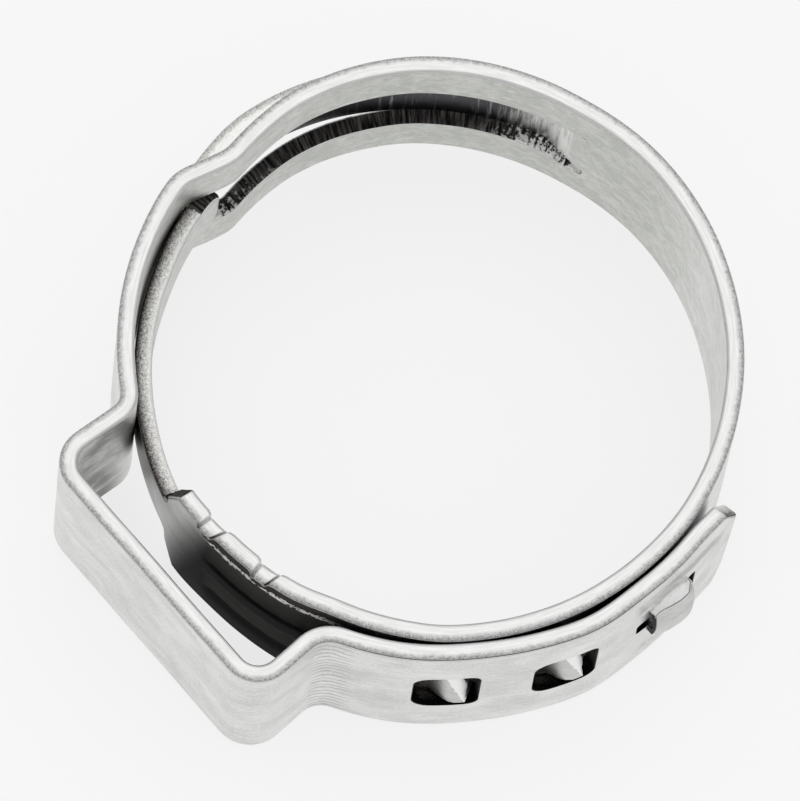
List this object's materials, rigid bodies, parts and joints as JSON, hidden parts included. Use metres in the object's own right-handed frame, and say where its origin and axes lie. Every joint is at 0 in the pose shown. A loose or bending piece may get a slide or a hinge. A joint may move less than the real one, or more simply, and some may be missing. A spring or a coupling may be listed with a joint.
{
  "type": "ear hose clamp",
  "caption": "One-piece stepless ear clamp of flat stainless band with a bridged tongue, latched overlap and a flat-roofed ear that is pinched shut to tighten it on a hose",
  "frame": {"origin": "centre of the hose seat, on the ring's axis and half way across the band", "axes": "+Z along the hose, the band's nibbed edge up, so the clamp rests on its plain edge; +Y out through the middle of the ear; +X to the side where the narrow inner tongue runs under the outer layer"},
  "size_m": [0.0225, 0.0228, 0.0072],
  "materials": {
    "clamp_band": "mill-rolled stainless band, satin faces, brighter sheared edges"
  },
  "bodies": {
    "root": {"clamp_band": "clamp_band"}
  },
  "joints": []
}
